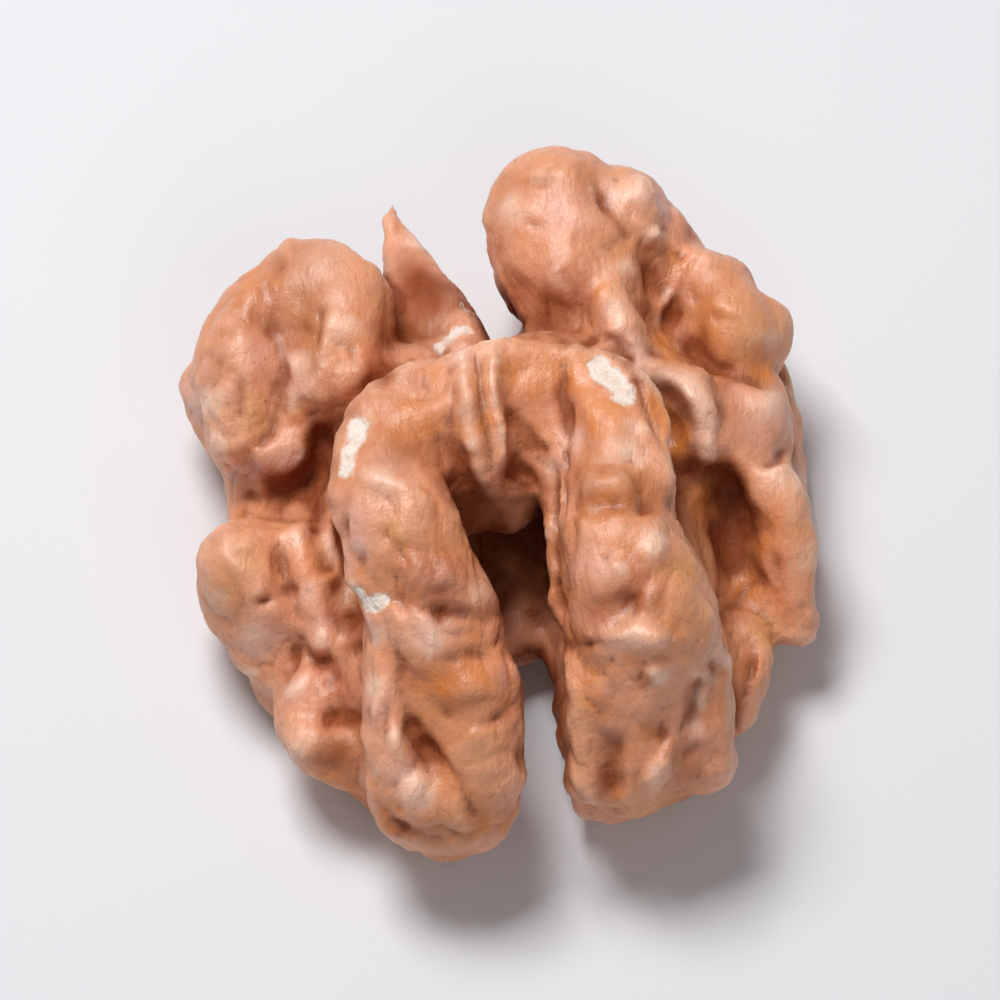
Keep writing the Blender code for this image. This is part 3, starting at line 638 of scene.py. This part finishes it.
def way_to_line(places, line):
    """How far each place is from a line, how far along the line it lies, and the line's length."""
    line = np.array(line)
    lengths = np.linalg.norm(np.diff(line, axis=0), axis=1)
    starts = np.cumsum(lengths) - lengths
    gap = np.full(len(places), np.inf)
    along = np.zeros(len(places))
    for a, b, length, start in zip(line, line[1:], lengths, starts):
        share = np.clip((places - a) @ (b - a) / length**2, 0, 1)
        here = np.linalg.norm(places - a - share[:, None] * (b - a), axis=1)
        along = np.where(here < gap, start + share * length, along)
        gap = np.minimum(gap, here)
    return gap, along, lengths.sum()


def crease_weight(places, half_width, line):
    """How much one crease presses each place, from 0 to 1. It fades out towards the line's ends."""
    gap, along, length = way_to_line(places, line)
    fade = np.clip(np.minimum(along, length - along) / CREASE_FADE, 0.3, 1)
    return fade * np.exp(-((gap / half_width) ** 2))


def fine_skin():
    """A fine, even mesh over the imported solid, smooth where the solid has flat triangles."""
    skin = bpy.data.objects.new("walnut_skin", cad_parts["kernel"].data.copy())
    bpy.context.scene.collection.objects.link(skin)
    remesh = skin.modifiers.new("remesh", "REMESH")
    remesh.mode = "VOXEL"
    remesh.voxel_size = SKIN_VOXEL
    smooth = skin.modifiers.new("smooth", "SMOOTH")
    smooth.factor = 0.5
    smooth.iterations = SKIN_SMOOTHING
    bpy.context.view_layer.update()
    graph = bpy.context.evaluated_depsgraph_get()
    mesh = bpy.data.meshes.new_from_object(skin.evaluated_get(graph))
    skin.modifiers.clear()
    skin.data = mesh
    return skin


def neighbours_of(mesh):
    """Both ends of every edge, each way round, and how many edges meet at each point."""
    ends = np.empty(len(mesh.edges) * 2, dtype=np.int64)
    mesh.edges.foreach_get("vertices", ends)
    ends = ends.reshape(-1, 2)
    here = np.concatenate((ends[:, 0], ends[:, 1]))
    there = np.concatenate((ends[:, 1], ends[:, 0]))
    return here, there, np.bincount(here, minlength=len(mesh.vertices))


def evened(values, edges, rounds):
    """The columns of values after rounds of moving each halfway to the mean of its neighbours."""
    here, there, count = edges
    values = values.copy()
    for _ in range(rounds):
        for column in values.T:
            mean = np.bincount(here, weights=column[there], minlength=len(count)) / count
            column[:] = (column + mean) / 2
    return values


def noise_at(points, scale, offset=0.0):
    """Smooth noise at each point, with its own scale along x, y and z."""
    moved = points * np.array(scale) + offset
    return np.array([noise.noise(Vector(point)) for point in moved])


def wrinkle(points, normals):
    """The points with creases, swells and wrinkles pressed in, and how strongly the painted shade of the
    creases lies there.
    """
    bend = [noise_at(points, (0.8, 0.8, 0.8), shift) for shift in (6.0, 23.0)]
    seen = in_view(points) + 2 * CREASE_WARP * np.stack(bend, axis=1)
    facing = np.clip((normals @ TOWARDS_VIEW - 0.1) / 0.3, 0, 1)
    uneven = np.clip(1 + 1.2 * noise_at(points, (0.9, 0.9, 0.9), 31.0), 0.5, 1.5)
    sunk = np.zeros(len(points))
    dark = np.zeros(len(points))
    for x, y, radius, height in KNOBS:
        sunk -= height * np.exp(-((seen - (x, y)) ** 2).sum(axis=1) / radius**2) * facing
    for half_width, depth, line in [crease for group in CREASES.values() for crease in group]:
        pressed = depth * crease_weight(seen, half_width, line) * facing * uneven
        sunk += pressed
        dark += np.maximum(pressed, 0)
    warp = [noise_at(points, (0.5, 0.5, 0.5), shift) for shift in (3.0, 17.0, 41.0)]
    bent = points + RELIEF_WARP * np.stack(warp, axis=1)
    wrinkles = np.clip(1 - 4 * np.abs(noise_at(bent, WRINKLE_SCALE)), 0, 1)
    fine_wrinkles = np.clip(1 - 4 * np.abs(noise_at(bent, FINE_WRINKLE_SCALE, 9.0)), 0, 1)
    height = SWELL_HEIGHT * (4 * np.abs(noise_at(bent, SWELL_SCALE, 5.0)) - 1)
    height -= WRINKLE_DEPTH * wrinkles**2 + FINE_WRINKLE_DEPTH * fine_wrinkles**2
    calm = sum(np.exp(-((seen - (x, y)) ** 2).sum(axis=1) / radius**2) for x, y, radius in CALM)
    height *= 1 - CALM_SHARE * np.clip(calm, 0, 1) * facing
    return points + normals * (height - sunk)[:, None], np.clip(dark / DARKEST_CREASE, 0, 1)


def hollowness(mesh, points, normals, edges):
    """How shut in each point is, from 0 in the open to 1 deep in a furrow, by casting rays from it."""
    tree = BVHTree.FromPolygons(points.tolist(), [list(polygon.vertices) for polygon in mesh.polygons])
    rays = np.random.default_rng(7).normal(size=(RAY_COUNT, 3))
    rays /= np.linalg.norm(rays, axis=1)[:, None]
    starts = points + normals * 0.08
    shut = np.zeros(len(points))
    for turn in range(RAYS_EACH):
        ray = rays[(np.arange(len(points)) * 5 + turn * 9) % RAY_COUNT] + normals * 1.02
        ray /= np.linalg.norm(ray, axis=1)[:, None]
        hits = [tree.ray_cast(Vector(a), Vector(b), HOLLOW_REACH)[3] for a, b in zip(starts, ray)]
        shut += [0.0 if hit is None else 1 - hit / HOLLOW_REACH for hit in hits]
    return evened(shut[:, None] / RAYS_EACH, edges, HOLLOW_ROUNDS)[:, 0]


def stain_and_painted_light(seen, facing, spots):
    """How strongly the spots colour each point."""
    total = np.zeros(len(seen))
    for x, y, radius, strength in spots:
        total += strength * np.exp(-((seen - (x, y)) ** 2).sum(axis=1) / radius**2)
    return np.clip(total, 0, 1) * facing


def put(mesh, name, values):
    """Stores one number for each point, for the material to read."""
    attribute = mesh.attributes.new(name, "FLOAT", "POINT")
    attribute.data.foreach_set("value", np.asarray(values, dtype=np.float32))


def finish_skin(skin):
    """Wrinkles the mesh, keeps its rest spots flat, and stores what the material reads."""
    mesh = skin.data
    points, dark = wrinkle(*as_arrays(mesh))
    points[:, 2] = np.maximum(points[:, 2], 0)
    mesh.vertices.foreach_set("co", (points * MM).ravel())
    mesh.update()
    points, normals = as_arrays(mesh)
    edges = neighbours_of(mesh)
    # Painted shade along the pressed-in creases
    put(mesh, "line", dark)
    put(mesh, "fold", ((points - evened(points, edges, FOLD_ROUNDS)) * normals).sum(axis=1))
    put(mesh, "crest", ((points - evened(points, edges, CREST_ROUNDS)) * normals).sum(axis=1))
    put(mesh, "hollow", hollowness(mesh, points, normals, edges))
    blur = 0.5 * np.stack([noise_at(points, (0.9, 0.9, 0.9), shift) for shift in (51.0, 77.0)], axis=1)
    seen = in_view(points) + blur
    facing = np.clip((normals @ TOWARDS_VIEW + 0.2) / 0.4, 0, 1)
    for name, spots in STAINS_AND_PAINTED_LIGHT.items():
        put(mesh, name, stain_and_painted_light(seen, facing, spots))
    mesh.polygons.foreach_set("use_smooth", [True] * len(mesh.polygons))


def surface_place(skin, x, y):
    """The point of the skin that shows at a place in the view, in millimetres."""
    start = (VIEW_ZERO + np.array((x, 0, 0)) + y * UP_IN_VIEW + 60 * TOWARDS_VIEW) * MM
    hit, place, normal, face = skin.ray_cast(Vector(start), Vector(-TOWARDS_VIEW))
    return place / MM


def chip_depth(skin):
    """How far inside a broken place each point of the skin lies, in millimetres, below 0 outside."""
    points = as_arrays(skin.data)[0]
    depth = np.full(len(points), -1.0)
    for radius, line in CHIPS:
        spots = [surface_place(skin, x, y) for x, y in line]
        depth = np.maximum(depth, radius - way_to_line(points, spots)[0])
    return depth


class Nodes:
    """Makes and joins the nodes of one material."""

    def __init__(self, name):
        self.material = bpy.data.materials.new(name)
        self.material.use_nodes = True
        self.tree = self.material.node_tree
        self.shader = self.tree.nodes["Principled BSDF"]

    def new(self, kind, inputs=None, **settings):
        node = self.tree.nodes.new(kind)
        for key, value in settings.items():
            setattr(node, key, value)
        for key, value in (inputs or {}).items():
            if isinstance(value, bpy.types.NodeSocket):
                self.tree.links.new(value, node.inputs[key])
            else:
                node.inputs[key].default_value = value
        return node

    def math(self, operation, *values, clamp=False):
        node = self.new("ShaderNodeMath", dict(enumerate(values)), operation=operation, use_clamp=clamp)
        return node.outputs[0]

    def vector(self, operation, *values, scale=None):
        inputs = dict(enumerate(values))
        if scale is not None:
            inputs["Scale"] = scale
        node = self.new("ShaderNodeVectorMath", inputs, operation=operation)
        return node.outputs["Value" if operation in ("LENGTH", "DOT_PRODUCT") else "Vector"]

    def attribute(self, name):
        return self.new("ShaderNodeAttribute", attribute_name=name).outputs["Fac"]

    def noise(self, place, scale, detail=3.0, rough=0.5):
        inputs = {"Vector": place, "Scale": scale, "Detail": detail, "Roughness": rough}
        return self.new("ShaderNodeTexNoise", inputs).outputs["Fac"]

    def between(self, value, low, high, to_low=0.0, to_high=1.0):
        inputs = {"Value": value, "From Min": low, "From Max": high, "To Min": to_low, "To Max": to_high}
        return self.new("ShaderNodeMapRange", inputs, interpolation_type="SMOOTHSTEP").outputs["Result"]

    def mix(self, share, first, second):
        node = self.new("ShaderNodeMix", data_type="RGBA")
        for socket, value in zip([node.inputs[k] for k in (0, 6, 7)], (share, first, second)):
            if isinstance(value, bpy.types.NodeSocket):
                self.tree.links.new(value, socket)
            elif isinstance(value, tuple):
                socket.default_value = (*value, 1.0)
            else:
                socket.default_value = value
        return node.outputs[2]


def skin_material():
    """Seed skin with stains, veins and chips: painted highlights pinkish on the crests, painted shade dark
    red-brown in the furrows.
    """
    n = Nodes("kernel_skin")
    place = n.vector("SCALE", n.new("ShaderNodeTexCoord").outputs["Object"], scale=1 / MM)
    line, fold, crest, hollow = (n.attribute(name) for name in ("line", "fold", "crest", "hollow"))
    amber, red, brown, dark, olive, pink, pale = (n.attribute(name) for name in STAINS_AND_PAINTED_LIGHT)

    broad = n.noise(place, 0.2, 4.0, 0.55)
    cloud = n.noise(place, 0.6, 4.0, 0.6)
    patch = n.noise(n.vector("ADD", place, (40.0, 0.0, 0.0)), 0.35, 5.0, 0.6)
    grain = n.noise(place, 3.0, 4.0, 0.65)
    base = n.mix(n.between(broad, 0.38, 0.62), TAN, ROSY_TAN)
    base = n.mix(n.between(cloud, 0.5, 0.7, 0.0, 0.55), base, AMBER_SKIN)
    base = n.mix(n.between(patch, 0.52, 0.72, 0.0, 0.5), base, RED_SKIN_AND_PAINTED_SHADE)
    layers = [
        (pink, 0.8, PINK_SKIN),
        (olive, 0.75, OLIVE_SKIN),
        (brown, 0.85, BROWN_SKIN_AND_PAINTED_SHADE),
        (amber, 0.9, AMBER_SKIN),
        (red, 0.85, RED_SKIN_AND_PAINTED_SHADE),
    ]
    for spots, strength, colour in layers:
        base = n.mix(n.math("MULTIPLY", spots, strength), base, colour)
    # Painted highlights: paler where broad crests rise and at the pale spots
    light = n.math("ADD", n.between(crest, 0.1, 0.6, 0.0, 0.45), pale, clamp=True)
    base = n.mix(n.math("MULTIPLY", light, 0.8), base, PAINTED_HIGHLIGHT)
    # Painted shade: towards the furrow colour in hollows found by rays, at the dark spots and in broad dips,
    # less under amber spots
    shade = n.math("ADD", n.between(hollow, 0.13, 0.48), n.math("MULTIPLY", dark, 0.85), clamp=True)
    shade = n.math("ADD", shade, n.between(crest, -0.04, -0.4, 0.0, 0.4), clamp=True)
    shade = n.math("MULTIPLY", shade, n.between(amber, 0.1, 0.9, 0.95, 0.25))
    base = n.mix(shade, base, PAINTED_FURROW_SHADE)
    # Painted shade along small folds and along the pressed-in creases
    base = n.mix(n.between(fold, -0.015, -0.1, 0.0, 0.55), base, PAINTED_CREASE_SHADE)
    base = n.mix(n.math("MULTIPLY", line, 0.6), base, PAINTED_CREASE_SHADE)
    veins = n.noise(n.vector("MULTIPLY", place, (1.0, 0.4, 0.7)), 0.8, 2.0, 0.5)
    vein = n.between(n.math("ABSOLUTE", n.math("SUBTRACT", veins, 0.5)), 0.03, 0.0, 0.0, 0.14)
    base = n.mix(vein, base, VEIN)
    base = n.mix(n.between(grain, 0.4, 0.75, 0.0, 0.2), base, SPECK)

    edge = n.math("MULTIPLY", n.math("SUBTRACT", n.noise(place, 1.1, 4.0, 0.6), 0.5), 1.1)
    chip = n.between(n.math("ADD", n.attribute("chip"), edge), -0.1, 0.22)
    flesh = n.mix(n.between(n.noise(place, 1.6, 3.0), 0.4, 0.7), FLESH_LIGHT, FLESH_SHADE)
    n.tree.links.new(n.mix(chip, base, flesh), n.shader.inputs["Base Color"])

    rough = n.between(n.noise(place, 1.6, 3.0), 0.3, 0.7, 0.34, 0.52)
    rough = n.math("ADD", rough, n.math("MULTIPLY", chip, 0.3))
    n.tree.links.new(rough, n.shader.inputs["Roughness"])
    fine_grain = n.noise(place, 7.0, 3.0, 0.6)
    relief = n.math("MULTIPLY", grain, GRAIN_DEPTH)
    relief = n.math("ADD", relief, n.math("MULTIPLY", fine_grain, FINE_GRAIN_DEPTH))
    relief = n.math("SUBTRACT", relief, n.math("MULTIPLY", vein, VEIN_DEPTH))
    rucks = n.noise(n.vector("MULTIPLY", place, (1.0, 0.4, 0.7)), 3.2, 3.0, 0.55)
    relief = n.math("ADD", relief, n.math("MULTIPLY", rucks, RUCK_DEPTH))
    crumb = n.math("MULTIPLY", n.noise(place, 3.0, 2.0, 0.6), CRUMB_DEPTH)
    crumb = n.math("SUBTRACT", crumb, CHIP_DEPTH)
    relief = n.math("ADD", relief, n.math("MULTIPLY", chip, crumb))
    bump = n.new("ShaderNodeBump", {"Strength": 1.0, "Distance": MM, "Height": relief})
    n.tree.links.new(bump.outputs["Normal"], n.shader.inputs["Normal"])
    n.shader.inputs["Subsurface Weight"].default_value = 0.25
    n.shader.inputs["Subsurface Radius"].default_value = (1.0, 0.35, 0.16)
    n.shader.inputs["Subsurface Scale"].default_value = 0.6 * MM
    n.tree.links.new(n.between(shade, 0.0, 0.7, 0.5, 0.08), n.shader.inputs["Specular IOR Level"])
    n.tree.links.new(n.between(shade, 0.0, 0.5, 0.2, 0.0), n.shader.inputs["Coat Weight"])
    n.shader.inputs["Coat Roughness"].default_value = 0.35
    return n.material


def add_floor():
    """The pale surface that the kernel lies on."""
    half = 2.0
    mesh = bpy.data.meshes.new("floor")
    corners = [(-half, -half, 0), (half, -half, 0), (half, half, 0), (-half, half, 0)]
    mesh.from_pydata(corners, [], [(0, 1, 2, 3)])
    floor = bpy.data.objects.new("floor", mesh)
    bpy.context.scene.collection.objects.link(floor)
    n = Nodes("floor")
    n.shader.inputs["Base Color"].default_value = (*FLOOR_COLOUR, 1.0)
    n.shader.inputs["Roughness"].default_value = 0.6
    n.shader.inputs["Specular IOR Level"].default_value = 0.2
    mesh.materials.append(n.material)


def add_camera():
    """A long lens that looks down on the crown from the base's side."""
    across, up = PICTURE_MIDDLE
    middle = (VIEW_ZERO + np.array((across, 0, 0)) + up * UP_IN_VIEW) * MM
    camera = bpy.data.objects.new("camera", bpy.data.cameras.new("camera"))
    camera.data.lens = LENS
    camera.data.clip_start = 0.01
    distance = PICTURE_WIDTH * MM * LENS / camera.data.sensor_width
    camera.location = Vector(middle + TOWARDS_VIEW * distance)
    camera.rotation_euler = Vector(-TOWARDS_VIEW).to_track_quat("-Z", "Y").to_euler()
    bpy.context.scene.collection.objects.link(camera)
    bpy.context.scene.camera = camera


def add_area_light(name, place, size, watts, colour):
    """A square light at a place, aimed at the kernel."""
    light = bpy.data.objects.new(name, bpy.data.lights.new(name, "AREA"))
    light.data.size = size
    light.data.energy = watts
    light.data.color = colour
    light.location = place
    light.rotation_euler = (-Vector(place)).to_track_quat("-Z", "Y").to_euler()
    bpy.context.scene.collection.objects.link(light)


def add_world():
    """Even, faintly warm light from all round."""
    world = bpy.data.worlds.new("world")
    world.use_nodes = True
    world.node_tree.nodes["Background"].inputs["Color"].default_value = (1.0, 0.95, 0.92, 1.0)
    world.node_tree.nodes["Background"].inputs["Strength"].default_value = 0.17
    bpy.context.scene.world = world
    bpy.context.scene.view_settings.view_transform = "Standard"


skin = fine_skin()
finish_skin(skin)
bpy.context.view_layer.update()
put(skin.data, "chip", chip_depth(skin))
skin.data.materials.clear()
skin.data.materials.append(skin_material())
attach(skin, "root")
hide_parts("kernel")

add_floor()
add_camera()
add_area_light("key", place=(-0.085, 0.13, 0.31), size=0.14, watts=1.13, colour=(1.0, 0.97, 0.94))
add_area_light("fill", place=(0.10, -0.30, 0.28), size=0.30, watts=0.3, colour=(1.0, 0.97, 0.94))
add_world()
